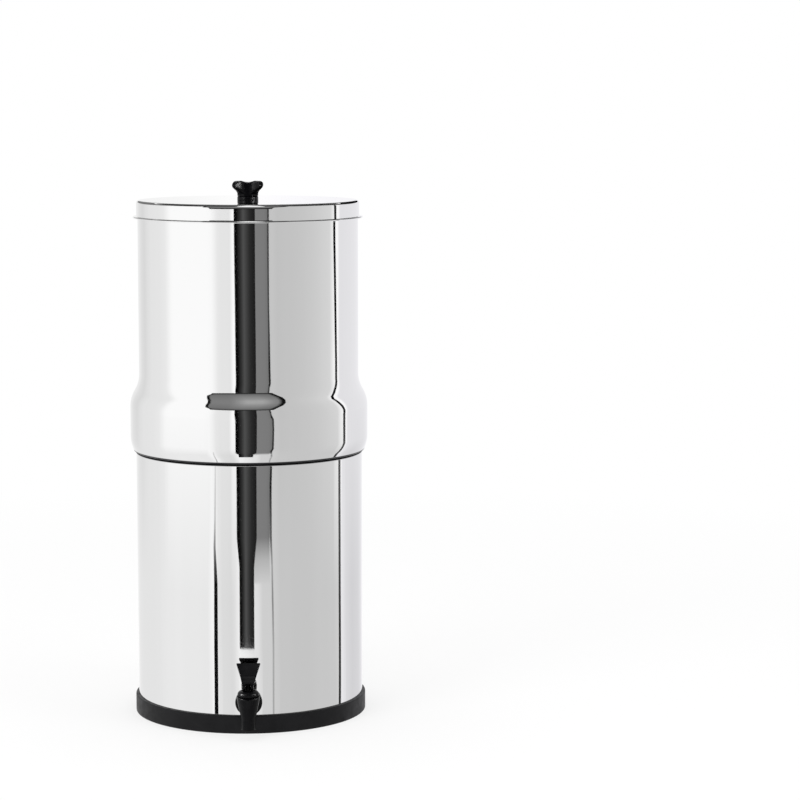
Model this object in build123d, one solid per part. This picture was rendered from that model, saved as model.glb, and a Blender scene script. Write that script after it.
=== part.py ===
from build123d import *
import os
from math import cos, radians, sin, sqrt

# Gravity water filter with a tap: two stainless chambers, one standing in the rim of the other.
# Millimetres. +Z is up, the origin is the centre of the base ring's underside, and the tap faces -Y.

os.makedirs("parts", exist_ok=True)

# ---- Driving sizes -------------------------------------------------------------------------------

# Sheet metal, and the room left between pieces.
sheet = 0.8
rim_bead = 1.4
seat_gap = 0.3
slip_gap = 0.5
nest_gap = 0.8
running_gap = 0.05
hole_gap = 0.4

# Small broken edges, and how far a cutting bar passes the face that it opens.
edge_break = 0.8
cut_over = 1.0

# Base ring.
ring_wall = 3.7
ring_height = 19.3
ring_foot = 5.0
ring_lip = 21.0
tread_count = 3
tread_depth = 1.2

# Lower chamber.
lower_radius = 121.0
lower_rim_z = 285.0
floor_corner = 6.0
floor_raise = 2.5
floor_raise_radius = 95.0

# Upper chamber: how far its wall stands in from the lower wall, and how far bulge and shelf reach past it.
upper_inset = 3.0
bulge_reach = 6.8
shelf_reach = 3.2
collar_depth = 20.0
bulge_low = 10.7
bulge_high = 56.2
flare_rise = 18.0
flare_bend = 35.0
upper_height = 268.0

# Lid and its knob.
lid_skirt = 17.2
lid_corner = 3.0
brim_reach = 3.8
knob_radius = 21.2
knob_waist = 11.3
knob_height = 20.0
knob_lobes = 4
knob_scallop = 16.5
knob_groove = 0.8
knob_screw_radius = 2.4
knob_screw_depth = 11.0
knob_screw_slot = 1.0
knob_washer_height = 1.0

# Filter elements.
element_pitch = 60.0
block_radius = 27.0
block_height = 201.0
block_core = 9.0
top_cap_height = 3.5
top_cap_wall = 1.0
base_cap_wall = 3.0
base_cap_height = 12.5
base_socket = 6.0
washer_radius = 14.5
washer_height = 8.0
stem_radius = 3.95
stem_bore = 2.0
stem_drop = 33.0
wing_span = 31.0
wing_height = 8.3
wing_hub = 5.6
wing_blade = 4.2

# Blocking plugs in the two spare holes.
plug_head_radius = 11.0
plug_head_height = 4.0
plug_washer_radius = 13.0
plug_washer_height = 3.0
plug_length = 26.0

# Tap body.
shank_radius = 7.9
shank_length = 17.3
inlet_bore = 5.0
flange_radius = 14.2
flange_height = 4.0
neck_radius = 9.0
barrel_reach = 28.0
barrel_radius = 11.8
barrel_rim = 12.7
barrel_saddle = 2.4
barrel_shoulder = 4.0
barrel_bend = 18.0
shoulder_bend = 6.0
spout_radius = 7.4
spout_drop = 23.0
spout_bore = 5.2
outer_washer = 2.0
inner_washer = 3.0
nut_flats = 26.0
nut_height = 7.0

# Valve, bonnet and lever.
seat_drop = 5.3
chamber_bore = 6.6
bonnet_thread = 8.8
bonnet_flange = 1.7
bonnet_dome = 3.8
bonnet_land = 6.8
bonnet_plug = 7.7
bonnet_roof = 7.2
bonnet_step = 0.6
grip_count = 12
grip_radius = 1.2
valve_stem_radius = 2.5
valve_stem_chamfer = 0.6
cup_height = 5.5
spring_radius = 4.6
spring_wire = 0.9
spring_turns = 5
pin_radius = 1.1
heel_height = 4.5
valve_lift = 3.5
lever_swing = 70.0
lever_lean = 37.0
lever_reach = 24.5
lever_neck = 11.5
lever_top = 24.8
lever_thick = 3.2

# ---- Sizes that follow ---------------------------------------------------------------------------

upper_radius = lower_radius - upper_inset
bulge_radius = lower_radius + bulge_reach
shelf_radius = lower_radius + shelf_reach
shelf_z = lower_rim_z + seat_gap
upper_floor_z = shelf_z - collar_depth
upper_floor_top = upper_floor_z + sheet
upper_rim_z = shelf_z + upper_height
lid_under = upper_rim_z + seat_gap
lid_top = lid_under + sheet
lid_radius = upper_radius + slip_gap + sheet
element_seat = upper_floor_top + washer_height
stem_hole = stem_radius + hole_gap

wall_face = lower_radius + seat_gap + outer_washer
tap_z = ring_height + flange_radius + slip_gap
barrel_y = lower_radius + barrel_reach
barrel_top = tap_z + barrel_rim
spout_z = tap_z - spout_drop
seat_z = tap_z - seat_drop
cup_top = seat_z + cup_height
bonnet_top = barrel_top + bonnet_flange + bonnet_dome
spring_top = bonnet_top - bonnet_roof
barb_low = seat_z + 0.3 * cup_height
barb_high = barb_low + 0.2 * cup_height
barb_radius = 1.4 * valve_stem_radius
pin_z = bonnet_top + seat_gap + heel_height
lift_per_radian = valve_lift / radians(lever_swing)


# ---- Shared shapes -------------------------------------------------------------------------------

def spin(section):
    """A section drawn as (radius, height), turned round the upright axis."""
    return revolve(Plane.XZ * section, Axis.Z)


def sheet_section(corners, radii, side):
    """A line of pressed sheet: its outer line, bent at the corners, and one sheet thick."""
    line = FilletPolyline(*corners, radius=radii)
    return make_face(offset(line, amount=sheet, side=side))


def bar(radius, low, high):
    """An upright round bar between two heights."""
    return Pos(0, 0, low) * extrude(Circle(radius), high - low)


def along_tap(solid):
    """Lay an upright solid along the tap's shank: its height becomes distance from the axis."""
    return Pos(0, 0, tap_z) * Rot(90, 0, 0) * solid


def at_barrel(solid):
    """Move an upright solid on to the axis of the tap's barrel."""
    return Pos(0, -barrel_y, 0) * solid


# ---- Base ring and lower chamber -----------------------------------------------------------------

def base_ring():
    """Rubber ring with an L section: the wall hugs the chamber, which stands on the foot."""
    inner = lower_radius + seat_gap
    outer = inner + ring_wall
    foot_in = lower_radius - ring_lip
    line = Polyline(
        (foot_in, 0), (outer, 0), (outer, ring_height), (inner, ring_height),
        (inner, ring_foot), (foot_in, ring_foot), close=True,
    )
    section = make_face(line)
    section = fillet(section.vertices().group_by(Axis.Y)[-1], ring_wall / 3)
    section = fillet(section.vertices().sort_by_distance((outer, 0))[0], ring_wall / 3)
    corner = section.vertices().sort_by_distance((inner, ring_foot))[0]
    section = fillet(corner, floor_corner - 2 * sheet)
    pitch = (outer - foot_in) / (tread_count + 1)
    for groove in range(1, tread_count + 1):
        section -= Pos(foot_in + pitch * groove, 0) * Rectangle(pitch / 3, 2 * tread_depth)
    return spin(section)


def lower_chamber():
    """Deep drawn bowl: raised floor, straight wall, rolled rim, and the hole for the tap."""
    floor_z = ring_foot
    raised = floor_z + floor_raise
    section = sheet_section(
        [(0, raised), (floor_raise_radius, raised), (floor_raise_radius + 2 * floor_raise, floor_z),
         (lower_radius, floor_z), (lower_radius, lower_rim_z - rim_bead)],
        [floor_raise, floor_raise, floor_corner], Side.LEFT,
    )
    bead = Pos(lower_radius - sheet + rim_bead, lower_rim_z - rim_bead) * Circle(rim_bead)
    bowl = spin(section + bead)
    return bowl - along_tap(bar(shank_radius + hole_gap, lower_radius - 3 * sheet, lower_radius + sheet))


# ---- Upper chamber -------------------------------------------------------------------------------

def stem_places():
    """The four holes in the upper chamber's floor: elements left and right, plugs front and back."""
    return {
        "left": (-element_pitch, 0), "right": (element_pitch, 0),
        "front": (0, -element_pitch), "back": (0, element_pitch),
    }


def upper_chamber():
    """Chamber with a collar that stands inside the lower rim, a bulge over it and a narrower wall."""
    collar = lower_radius - sheet - nest_gap
    flare_end = shelf_z + bulge_high + flare_rise
    section = sheet_section(
        [(0, upper_floor_z), (collar, upper_floor_z), (collar, shelf_z), (shelf_radius, shelf_z),
         (bulge_radius, shelf_z + bulge_low), (bulge_radius, shelf_z + bulge_high),
         (upper_radius, flare_end), (upper_radius, upper_rim_z - rim_bead)],
        [floor_corner, 1.5 * sheet, 2.5 * sheet, flare_bend, flare_bend, flare_bend], Side.LEFT,
    )
    bead = Pos(upper_radius - rim_bead, upper_rim_z - rim_bead) * Circle(rim_bead)
    chamber = spin(section + bead)
    for x, y in stem_places().values():
        chamber -= Pos(x, y, 0) * bar(stem_hole, upper_floor_z - cut_over, upper_floor_top + cut_over)
    return chamber


# ---- Filter elements and plugs -------------------------------------------------------------------

def element_block():
    """Carbon block with a blind core, glued into its two caps."""
    low = element_seat + base_cap_height - base_socket
    high = element_seat + base_cap_height + block_height
    block = bar(block_radius, low, high) - bar(block_core, low, high - block_core)
    return chamfer(block.faces().sort_by(Axis.Z)[-1].edges(), edge_break)


def element_top_cap():
    """Thin moulded lid that closes the top of the block."""
    block_top = element_seat + base_cap_height + block_height
    outer = block_radius + seat_gap + top_cap_wall
    skirt_low = block_top - top_cap_height + top_cap_wall
    cap = bar(outer, skirt_low, block_top + top_cap_wall)
    cap = fillet(cap.faces().sort_by(Axis.Z)[-1].edges(), 0.6 * top_cap_wall)
    return cap - bar(block_radius + seat_gap, skirt_low, block_top)


def element_base_cap():
    """Thick moulded cup that holds the foot of the block and carries the stem."""
    outer = block_radius + base_cap_wall
    high = element_seat + base_cap_height
    cap = bar(outer, element_seat, high)
    cap = chamfer(cap.faces().sort_by(Axis.Z)[0].edges(), base_cap_wall / 2)
    cap = fillet(cap.faces().sort_by(Axis.Z)[-1].edges(), base_cap_wall / 5)
    cap -= bar(block_radius + seat_gap, high - base_socket, high + cut_over)
    return cap - bar(stem_radius + running_gap, element_seat - cut_over, high)


def element_stem():
    """Threaded outlet tube, let into the base cap and open from end to end."""
    high = element_seat + base_cap_height - base_socket
    low = element_seat - stem_drop
    stem = bar(stem_radius, low, high)
    stem = chamfer(stem.faces().sort_by(Axis.Z)[0].edges(), edge_break)
    return stem - bar(stem_bore, low - cut_over, high + cut_over)


def element_washer():
    """Rubber washer that seals the element to the chamber floor; its lower edge is cut back."""
    washer = bar(washer_radius, upper_floor_top, element_seat)
    washer = chamfer(washer.faces().sort_by(Axis.Z)[0].edges(), washer_height / 3)
    washer = fillet(washer.faces().sort_by(Axis.Z)[-1].edges(), edge_break)
    return washer - bar(stem_radius + seat_gap, upper_floor_top - cut_over, element_seat + cut_over)


def wing_nut():
    """Moulded wing nut below the chamber floor: a hub and two rounded blades."""
    high = upper_floor_z
    low = high - wing_height
    outline = SlotOverall(wing_span, wing_blade) + Circle(wing_hub)
    outline = fillet(outline.vertices().filter_by(lambda v: abs(v.X) < 1.2 * wing_hub), wing_blade / 4)
    nut = Pos(0, 0, low) * extrude(outline, wing_height)
    return nut - bar(stem_radius + running_gap, low - cut_over, high + cut_over)


def plug_screw():
    """Blocking plug: a round headed screw that closes a spare hole."""
    seat = upper_floor_top + plug_washer_height
    head = bar(plug_head_radius, seat, seat + plug_head_height)
    head = fillet(head.faces().sort_by(Axis.Z)[-1].edges(), plug_head_height / 3)
    shank = bar(stem_radius, seat - plug_length, seat)
    return head + chamfer(shank.faces().sort_by(Axis.Z)[0].edges(), edge_break)


def plug_washer():
    """Rubber washer under the head of a blocking plug."""
    high = upper_floor_top + plug_washer_height
    washer = bar(plug_washer_radius, upper_floor_top, high)
    washer = fillet(washer.faces().sort_by(Axis.Z)[-1].edges(), edge_break)
    return washer - bar(stem_radius + seat_gap, upper_floor_top - cut_over, high + cut_over)


# ---- Lid and knob --------------------------------------------------------------------------------

def lid():
    """Flat pressed lid with a skirt over the chamber's rim and a folded brim."""
    brim_z = lid_top - lid_skirt - 2 * sheet
    section = sheet_section(
        [(0, lid_top), (lid_radius, lid_top), (lid_radius, brim_z)], lid_corner, Side.RIGHT,
    )
    brim_out = lid_radius + brim_reach
    brim_in = lid_radius - sheet
    fold = Rectangle(brim_out - sheet - brim_in, 2 * sheet, align=(Align.MIN, Align.MIN))
    section += Pos(brim_in, brim_z) * fold
    section += Pos(brim_out - sheet, brim_z + sheet) * Circle(sheet)
    cover = spin(section)
    return cover - bar(knob_screw_radius + hole_gap, lid_under - cut_over, lid_top + cut_over)


def lid_knob():
    """Moulded knob: a grooved foot, a waist, and a flared crown cut into lobes round a low dome."""
    foot = 0.2 * knob_height
    waist_top = 0.34 * knob_height
    crown = 0.7 * knob_height
    ridge = 0.69 * knob_radius
    dome = 0.89 * knob_height
    outline = Polyline((0, 0), (knob_waist, 0), (knob_waist, foot - knob_groove),
                       (knob_waist - knob_groove, foot), (knob_waist, foot + knob_groove),
                       (knob_waist, waist_top))
    flare = Spline((knob_waist, waist_top), (knob_radius, crown), tangents=((0.7, 1), (0.1, 1)))
    tip = ThreePointArc((knob_radius, crown), (0.93 * knob_radius, 0.88 * knob_height),
                        (ridge, knob_height))
    dish = Spline((ridge, knob_height), (0.45 * knob_radius, 0.84 * knob_height), (0, dome),
                  tangents=((-1, -0.4), (-1, 0)))
    axis_line = Line((0, dome), (0, 0))
    turned = spin(make_face([*outline.edges(), flare, tip, dish, axis_line]))
    plan = Circle(knob_radius)
    for lobe in range(knob_lobes):
        plan -= Rot(0, 0, 360 / knob_lobes * lobe) * Pos(knob_waist + knob_scallop, 0) * Circle(knob_scallop)
    plan = fillet(plan.vertices(), 0.1 * knob_radius)
    knob = Pos(0, 0, lid_top) * (turned & extrude(plan, knob_height))
    return knob - bar(knob_screw_radius + running_gap, lid_top - cut_over, lid_top + knob_screw_depth)


def knob_washer():
    """Steel washer between the screw's head and the underside of the lid."""
    low = lid_under - knob_washer_height
    washer = bar(3 * knob_screw_radius, low, lid_under)
    return washer - bar(knob_screw_radius + hole_gap, low - cut_over, lid_under + cut_over)


def knob_screw():
    """Pan headed screw that holds the knob from inside the lid."""
    seat = lid_under - knob_washer_height
    head = bar(2 * knob_screw_radius, seat - knob_screw_radius, seat)
    head = fillet(head.faces().sort_by(Axis.Z)[0].edges(), knob_screw_radius / 2)
    slot = Box(3.4 * knob_screw_radius, knob_screw_slot, 1.6 * knob_screw_slot)
    head -= Pos(0, 0, seat - knob_screw_radius) * slot
    return head + bar(knob_screw_radius, seat, lid_top + knob_screw_depth - slip_gap)


# ---- Tap body and its fixing ---------------------------------------------------------------------

def tap_body():
    """Moulded tap: threaded shank, wall flange, neck, and an upright barrel that ends in the spout."""
    shank_end = wall_face - shank_length
    shank = bar(shank_radius, shank_end, wall_face)
    shank = chamfer(shank.faces().sort_by(Axis.Z)[0].edges(), edge_break)
    flange = bar(flange_radius, wall_face, wall_face + flange_height)
    flange = fillet(flange.faces().sort_by(Axis.Z)[-1].edges(), flange_height / 3)
    fitting = along_tap(shank + flange + bar(neck_radius, wall_face, barrel_y))
    outline = FilletPolyline(
        (spout_radius, spout_z), (1.1 * spout_radius, seat_z - barrel_shoulder),
        (barrel_radius, barrel_top - barrel_shoulder), (barrel_radius, barrel_top),
        radius=[barrel_bend, shoulder_bend],
    )
    closing = Polyline((barrel_radius, barrel_top), (0, barrel_top), (0, spout_z),
                       (spout_radius, spout_z))
    body = fitting + at_barrel(spin(make_face([*outline.edges(), *closing.edges()])))
    dish_radius = (barrel_radius ** 2 + barrel_saddle ** 2) / (2 * barrel_saddle)
    dish = Pos(0, 0, barrel_top - barrel_saddle + dish_radius)
    body -= at_barrel(dish * Rot(90, 0, 0) * Cylinder(dish_radius, 3 * barrel_radius))
    body -= along_tap(bar(inlet_bore, shank_end - cut_over, barrel_y))
    body -= at_barrel(bar(spout_bore, spout_z - cut_over, seat_z + cut_over))
    body -= at_barrel(bar(chamber_bore, seat_z, barrel_top + cut_over))
    thread_low = bonnet_low() - slip_gap
    return body - at_barrel(bar(bonnet_thread + running_gap, thread_low, barrel_top + cut_over))


def tap_outer_washer():
    """Rubber washer between the flange and the chamber, moulded to the chamber's curve."""
    behind = lower_radius - outer_washer
    disc = bar(flange_radius - slip_gap, behind, wall_face)
    disc -= bar(shank_radius + seat_gap, behind - cut_over, wall_face + cut_over)
    return along_tap(disc) - bar(lower_radius + seat_gap, 0, 2 * tap_z)


def tap_inner_washer():
    """The same on the inside, curved to the chamber's inner wall."""
    inside = lower_radius - sheet - seat_gap
    face = inside - inner_washer
    disc = bar(flange_radius - slip_gap, face, inside + cut_over)
    disc -= bar(shank_radius + seat_gap, face - cut_over, inside + 2 * cut_over)
    return along_tap(disc) & bar(inside, 0, 2 * tap_z)


def tap_lock_nut():
    """Hexagon nut that draws the flange and both washers against the wall."""
    face = lower_radius - sheet - seat_gap - inner_washer
    hexagon = RegularPolygon(nut_flats / 2, 6, major_radius=False)
    nut = Pos(0, 0, face - nut_height) * extrude(hexagon, nut_height)
    rounding = bar(0.56 * nut_flats, face - nut_height, face)
    nut &= chamfer(rounding.faces().sort_by(Axis.Z)[0].edges(), nut_height / 6)
    return along_tap(nut - bar(shank_radius + running_gap, face - nut_height - cut_over, face + cut_over))


# ---- Valve ---------------------------------------------------------------------------------------

def bonnet_low():
    """Lower end of the bonnet's threaded plug."""
    return barrel_top - bonnet_plug


def tap_bonnet():
    """Screwed cap of the barrel: it guides the valve stem and is the land for the lever's heel."""
    rim = barrel_radius - bonnet_step
    shoulder = barrel_top + bonnet_flange
    outline = Polyline((0, bonnet_low()), (bonnet_thread, bonnet_low()), (bonnet_thread, barrel_top),
                       (rim, barrel_top), (rim, shoulder))
    dome = ThreePointArc((rim, shoulder), (bonnet_land + 0.72 * (rim - bonnet_land),
                         shoulder + 0.68 * bonnet_dome), (bonnet_land, bonnet_top))
    closing = Polyline((bonnet_land, bonnet_top), (0, bonnet_top), (0, bonnet_low()))
    cap = spin(make_face([*outline.edges(), dome, *closing.edges()]))
    cap -= bar(spring_radius + spring_wire, bonnet_low() - cut_over, spring_top)
    cap -= bar(valve_stem_radius + running_gap, bonnet_low(), bonnet_top + cut_over)
    for grip in range(grip_count):
        notch = Rot(0, 0, 360 / grip_count * grip) * Pos(rim + 0.6 * grip_radius, 0, 0)
        cap -= notch * bar(grip_radius, barrel_top, bonnet_top)
    return at_barrel(cap)


def valve_stem():
    """Rod from the seat cup up to the lever's pin, barbed at its foot."""
    stem = bar(valve_stem_radius, barb_low, pin_z + valve_stem_radius)
    stem = chamfer(stem.faces().sort_by(Axis.Z)[-1].edges(), valve_stem_chamfer)
    stem += bar(barb_radius, barb_low, barb_high)
    hole = Pos(0, 0, pin_z) * Rot(0, 90, 0) * Cylinder(pin_radius + running_gap, 4 * valve_stem_radius)
    return at_barrel(stem - hole)


def seat_cup():
    """Silicone plug that closes the spout: a rounded body with a seat ring below and a step above."""
    radius = chamber_bore - hole_gap
    step = spring_radius - spring_wire
    cup = bar(radius, seat_z, cup_top - spring_wire)
    cup = chamfer(cup.faces().sort_by(Axis.Z)[-1].edges(), edge_break)
    cup += bar(step - running_gap, cup_top - 2 * spring_wire, cup_top)
    cup -= bar(valve_stem_radius + running_gap, barb_low, cup_top + cut_over)
    pocket = bar(barb_radius + running_gap, barb_low - running_gap, barb_high + running_gap)
    return at_barrel(cup - pocket)


def valve_spring():
    """Closing spring between the seat cup and the bonnet's roof."""
    low = cup_top - spring_wire / 2 + running_gap
    high = spring_top - spring_wire / 2 - running_gap
    coil = Helix(pitch=(high - low) / spring_turns, height=high - low, radius=spring_radius)
    wire = Plane(origin=coil @ 0, z_dir=coil % 0) * Circle(spring_wire / 2)
    return at_barrel(Pos(0, 0, low) * sweep(wire, path=coil, is_frenet=True))


def lever_pin():
    """Cross pin through the lever's cheeks and the valve stem."""
    pin = Rot(0, 90, 0) * Cylinder(pin_radius, lever_neck - 2 * seat_gap)
    return Pos(0, -barrel_y, pin_z) * chamfer(pin.edges().filter_by(GeomType.CIRCLE), pin_radius / 4)


# ---- Lever ---------------------------------------------------------------------------------------

def heel_point(swing):
    """Point of the heel that bears on the bonnet when the lever has swung this many degrees.

    The heel is the involute of a small circle, so the pin rises in step with the swing.
    """
    turn = radians(swing)
    reach = heel_height + lift_per_radian * turn
    return (-reach * sin(turn) - lift_per_radian * cos(turn),
            -reach * cos(turn) + lift_per_radian * sin(turn))


def paddle_point(along, across):
    """Point of the leaning paddle, along its middle line and across it towards the front."""
    lean = radians(lever_lean)
    return (along * sin(lean) - across * cos(lean), along * cos(lean) + across * sin(lean))


def tap_lever():
    """Lever: a leaning paddle on two cheeks, whose cam heels lift the valve as it is pulled."""
    back_swing = -30
    swings = [back_swing + step * (lever_swing - back_swing) / 6 for step in range(7)]
    heel = Spline(*[heel_point(swing) for swing in swings])
    knee = lever_reach / 2
    front_low = paddle_point(knee, 0.75 * lever_thick)
    front_top = paddle_point(lever_reach, lever_thick / 2)
    back_top = paddle_point(lever_reach, -lever_thick / 2)
    back_low = paddle_point(knee, -0.75 * lever_thick)
    rise = radians(lever_swing)
    brow = Spline(heel_point(lever_swing), front_low,
                  tangents=((-cos(rise), sin(rise)), paddle_point(1, 0)))
    back_heel = (heel_height, -0.2 * heel_height)
    face = Line(front_low, front_top)
    crest = ThreePointArc(front_top, paddle_point(lever_reach + 0.35 * lever_thick, 0), back_top)
    back = Polyline(back_top, back_low, back_heel)
    under = ThreePointArc(back_heel, (0.55 * heel_height, -0.8 * heel_height), heel_point(back_swing))
    side = make_face([*heel.edges(), brow, face, crest, *back.edges(), under])
    body = extrude(Plane.YZ * side, lever_top, both=True)
    flare_z = 0.35 * heel_height
    top_z = paddle_point(lever_reach, 0)[1]
    front = make_face(Polyline(
        (-lever_neck / 2, -3 * heel_height), (lever_neck / 2, -3 * heel_height),
        (lever_neck / 2, flare_z), (lever_top / 2, top_z), (lever_top / 2, 2 * top_z),
        (-lever_top / 2, 2 * top_z), (-lever_top / 2, top_z), (-lever_neck / 2, flare_z), close=True,
    ))
    body &= extrude(Plane.XZ * front, 4 * lever_reach, both=True)
    body = fillet(body.edges(), 0.2 * lever_thick)
    slot = valve_stem_radius + seat_gap
    stem_corner = sqrt(valve_stem_radius ** 2 + (valve_stem_radius - valve_stem_chamfer) ** 2)
    clear = stem_corner + seat_gap
    fork = Box(2 * slot, 6 * heel_height, 4 * heel_height, align=(Align.CENTER, Align.MAX, Align.MAX))
    body -= Pos(0, clear, clear) * fork
    body -= Rot(0, 90, 0) * Cylinder(pin_radius + running_gap, 2 * lever_neck)
    return Pos(0, -barrel_y, pin_z) * body


# ---- Writing the pieces --------------------------------------------------------------------------

pieces = {
    "base_ring": base_ring(),
    "lower_chamber": lower_chamber(),
    "upper_chamber": upper_chamber(),
    "lid": lid(),
    "lid_knob": lid_knob(),
    "knob_washer": knob_washer(),
    "knob_screw": knob_screw(),
    "tap_body": tap_body(),
    "tap_outer_washer": tap_outer_washer(),
    "tap_inner_washer": tap_inner_washer(),
    "tap_lock_nut": tap_lock_nut(),
    "tap_bonnet": tap_bonnet(),
    "valve_stem": valve_stem(),
    "seat_cup": seat_cup(),
    "valve_spring": valve_spring(),
    "lever_pin": lever_pin(),
    "tap_lever": tap_lever(),
}

element_pieces = {
    "element_block": element_block(),
    "element_top_cap": element_top_cap(),
    "element_base_cap": element_base_cap(),
    "element_stem": element_stem(),
    "element_washer": element_washer(),
    "element_wing_nut": wing_nut(),
}

plug_pieces = {
    "plug_screw": plug_screw(),
    "plug_washer": plug_washer(),
    "plug_wing_nut": wing_nut(),
}

for place, (x, y) in stem_places().items():
    fitted = element_pieces if y == 0 else plug_pieces
    for name, solid in fitted.items():
        pieces[f"{name}_{place}"] = Pos(x, y, 0) * solid

for name, solid in pieces.items():
    export_step(solid, f"parts/{name}.step")
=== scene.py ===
# %% [markdown]
# # A gravity water filter in polished steel
# Two stainless chambers stand one in the other on a black ring, with a lid and a knob on top and
# a lever tap at the foot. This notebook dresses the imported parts: it makes the shining shells
# anew as turned shapes, softens the moulded pieces, gives each its material, and builds the
# studio that the steel mirrors. Run it from top to bottom.

from math import atan2, ceil, cos, degrees, pi, radians, sin, sqrt, tan, tau

import bmesh
import bpy
from mathutils import Matrix, Vector


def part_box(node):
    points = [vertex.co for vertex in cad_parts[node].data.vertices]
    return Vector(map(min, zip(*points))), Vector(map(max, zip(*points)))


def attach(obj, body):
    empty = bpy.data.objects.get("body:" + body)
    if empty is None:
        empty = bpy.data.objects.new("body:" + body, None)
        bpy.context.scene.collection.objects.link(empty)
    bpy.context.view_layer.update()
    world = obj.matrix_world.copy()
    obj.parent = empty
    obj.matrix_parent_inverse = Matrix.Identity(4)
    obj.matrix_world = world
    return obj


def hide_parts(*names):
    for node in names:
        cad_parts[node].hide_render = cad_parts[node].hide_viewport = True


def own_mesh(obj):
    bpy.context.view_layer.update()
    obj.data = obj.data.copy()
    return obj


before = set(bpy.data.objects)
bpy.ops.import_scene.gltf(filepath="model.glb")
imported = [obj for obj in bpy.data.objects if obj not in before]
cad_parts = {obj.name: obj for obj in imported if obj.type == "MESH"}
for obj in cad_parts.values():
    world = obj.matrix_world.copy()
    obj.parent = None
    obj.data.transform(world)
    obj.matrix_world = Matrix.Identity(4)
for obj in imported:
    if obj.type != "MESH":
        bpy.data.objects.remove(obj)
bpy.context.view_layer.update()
MM = 0.001


def box_mm(node):
    """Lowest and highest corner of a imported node, in millimetres."""
    return [Vector(corner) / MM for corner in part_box(node)]


def middle_of(node):
    """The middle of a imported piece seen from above, with its lowest and highest point, in mm."""
    low, high = box_mm(node)
    return (low.x + high.x) / 2, (low.y + high.y) / 2, low.z, high.z

# %% [markdown]
# ## The camera
# A long lens a little above the middle of the filter, looking down by a few degrees. The filter
# stands left of the picture's centre, so the camera is turned rather than shifted.

# %% Camera
def add_camera():
    """The product camera: 122 mm lens at nearly three metres."""
    data = bpy.data.cameras.new("product_camera")
    data.sensor_width = 36.0
    data.lens = 122.06
    data.clip_end = 60.0
    camera = bpy.data.objects.new("product_camera", data)
    camera.location = (0.0568, -2.9163, 0.6825)
    camera.rotation_euler = (radians(90 - 6.739), 0, radians(-2.09))
    bpy.context.scene.collection.objects.link(camera)
    bpy.context.scene.camera = camera
    return camera


camera = add_camera()
bpy.context.scene.view_settings.view_transform = "Standard"
print("camera at", [round(c, 3) for c in camera.location])

# %% [markdown]
# ## Small helpers for materials
# Every material here is a node tree. One function turns the hex colour that a person reads off a
# sample into the linear colour that Cycles works in, and one function adds a node with its
# settings and links. The others are short recipes made of it: a noise of a real size, two tones
# between which it drifts, a spread of values, a bump of a real depth. Every pattern lies on the
# object's own coordinates, so it stays on the piece when a joint moves.

# %% Colour, node and scale helpers
def linear(hex_colour):
    """'#RRGGBB' as the linear RGBA that shader sockets want."""
    channels = [int(hex_colour[i:i + 2], 16) / 255 for i in (1, 3, 5)]
    return [c / 12.92 if c <= 0.04045 else ((c + 0.055) / 1.055) ** 2.4 for c in channels] + [1.0]


def add_node(tree, kind, inputs=None, **settings):
    """Adds one node. Each input is a value, or the socket that it is linked from."""
    node = tree.nodes.new(kind)
    for name, value in settings.items():
        setattr(node, name, value)
    for name, value in (inputs or {}).items():
        if isinstance(value, bpy.types.NodeSocket):
            tree.links.new(value, node.inputs[name])
        else:
            node.inputs[name].default_value = value
    return node


def repeats(size_mm):
    """Scale of a noise or Voronoi texture whose features are about this many millimetres."""
    return 1000.0 / size_mm


def empty_material(name):
    """A material with nothing in its tree."""
    material = bpy.data.materials.new(name)
    material.use_nodes = True
    material.node_tree.nodes.clear()
    return material


def object_place(tree, stretch=(1, 1, 1)):
    """The object's own coordinates, squeezed by a share along each axis."""
    place = add_node(tree, "ShaderNodeTexCoord")
    return add_node(tree, "ShaderNodeMapping", {
        "Vector": place.outputs["Object"], "Scale": stretch}).outputs[0]


def noise_on(tree, size_mm, detail=2.0, roughness=0.5, stretch=(1, 1, 1)):
    """Noise whose features are about this many millimetres."""
    return add_node(tree, "ShaderNodeTexNoise", {
        "Vector": object_place(tree, stretch), "Scale": repeats(size_mm),
        "Detail": detail, "Roughness": roughness}).outputs[0]


def tones(tree, source, dark, light, start=0.0, end=1.0):
    """Colour between two hex tones, as the source goes from start to end."""
    ramp = add_node(tree, "ShaderNodeValToRGB", {"Fac": source})
    for stop, position, tone in zip(ramp.color_ramp.elements, (start, end), (dark, light)):
        stop.position = position
        stop.color = linear(tone)
    return ramp.outputs[0]


def spread(tree, source, low, high, start=0.3, end=0.7):
    """A value that goes from low to high, as the source goes from start to end."""
    return add_node(tree, "ShaderNodeMapRange", {
        "Value": source, "From Min": start, "From Max": end,
        "To Min": low, "To Max": high}).outputs[0]


def bumped(tree, source, strength, depth_mm, invert=False):
    """A surface that the source raises by up to this depth."""
    settings = {"Height": source, "Strength": strength, "Distance": depth_mm * MM}
    return add_node(tree, "ShaderNodeBump", settings, invert=invert).outputs[0]


def surfaced(tree, kind, inputs):
    """Ends a tree with one shader and the material's output."""
    shader = add_node(tree, kind, inputs)
    add_node(tree, "ShaderNodeOutputMaterial", {"Surface": shader.outputs[0]})


def calculate(tree, operation, *values):
    """One step of arithmetic on values or sockets."""
    return add_node(tree, "ShaderNodeMath", dict(enumerate(values)), operation=operation).outputs[0]


PRINCIPLED = "ShaderNodeBsdfPrincipled"
print("mid grey #808080 is", round(linear("#808080")[0], 3), "in linear light")

# %% [markdown]
# ## The studio
# Polished steel has hardly a colour of its own: what the eye sees is the room in it. So the room
# is built with care. The world is plain white and the floor is white paper, half lit so that it
# keeps the filter's shadow, and turning to plain white far away, so that no horizon shows.

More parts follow.
